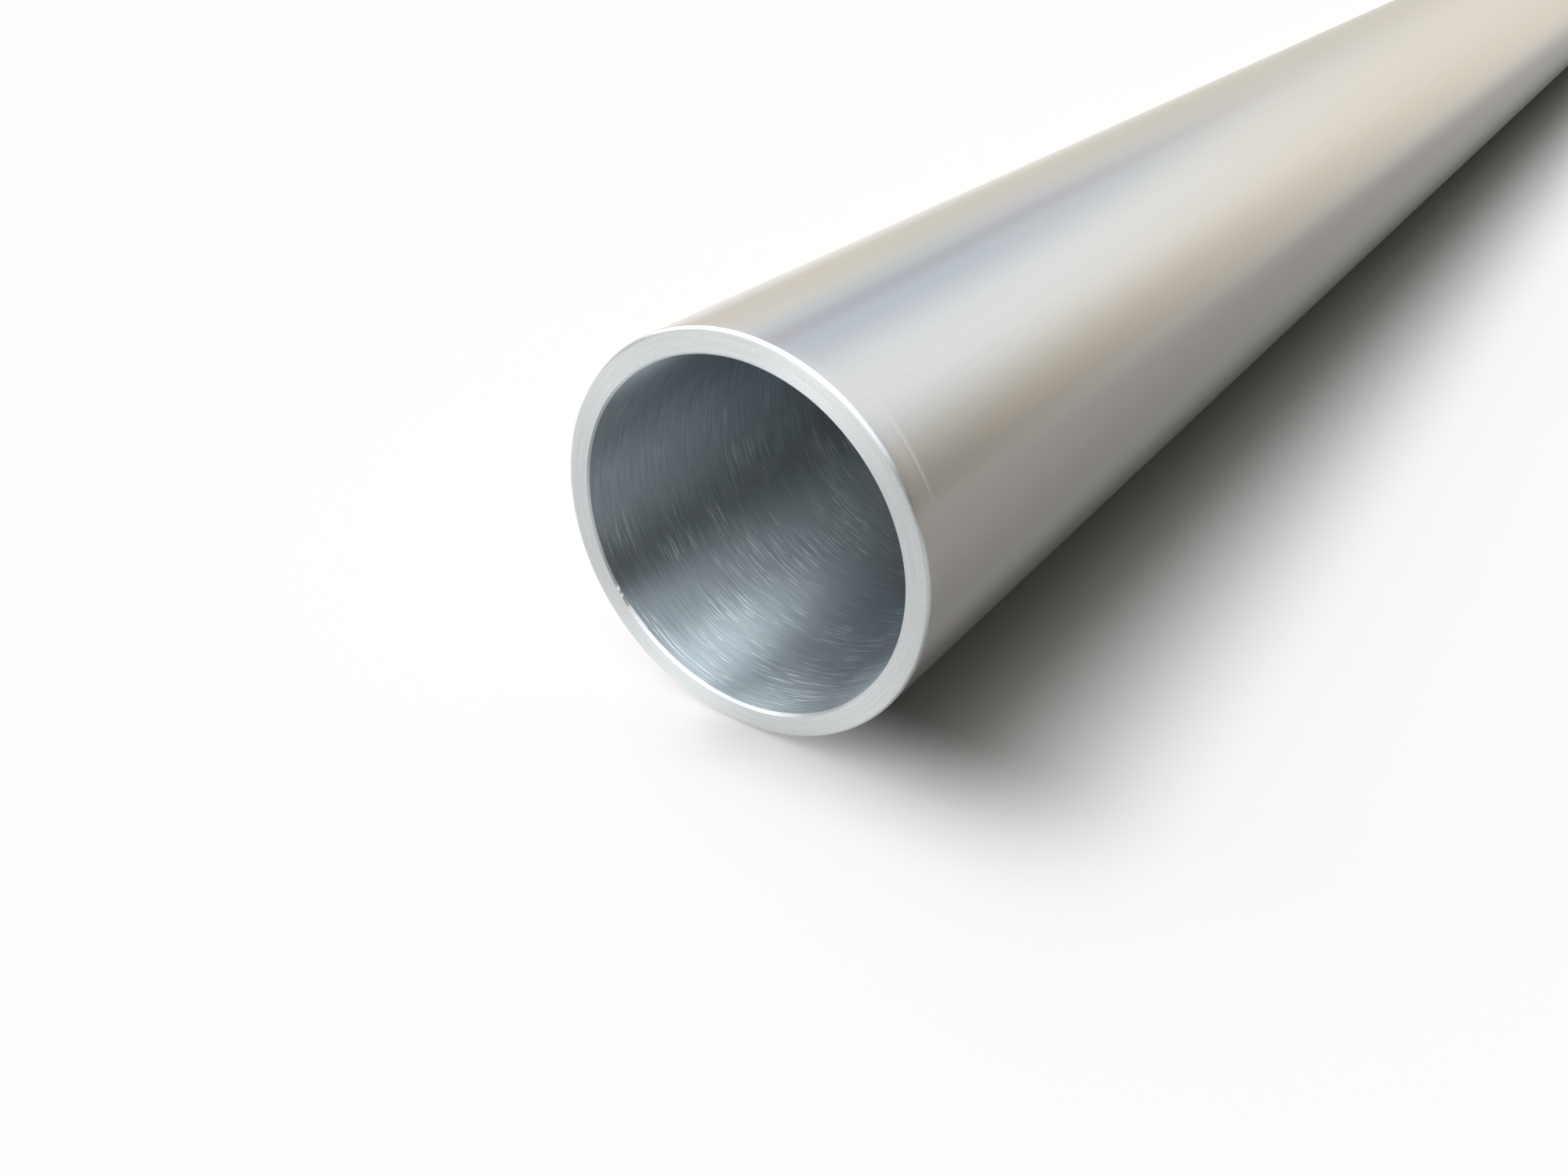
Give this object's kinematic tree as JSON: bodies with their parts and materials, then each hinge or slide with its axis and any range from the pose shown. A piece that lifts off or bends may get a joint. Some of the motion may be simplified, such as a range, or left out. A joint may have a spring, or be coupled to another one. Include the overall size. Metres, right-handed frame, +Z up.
{
  "type": "round aluminium tube",
  "caption": "Straight round aluminium tube with a plain bore, cut square at both ends, outer edges rounded and bore mouths bevelled, for frames, rails, posts and sleeves.",
  "frame": {"origin": "middle of the tube's length, on the surface it lies on", "axes": "+Y along the tube, away from the end that the picture shows; +Z up; +X to the right of that end"},
  "size_m": [0.05, 1, 0.05],
  "materials": {
    "aluminium": "bare drawn satin, with fine lengthwise die lines outside, scratches round the bore and bright faced ends"
  },
  "bodies": {
    "root": {"tube": "aluminium"}
  },
  "joints": []
}
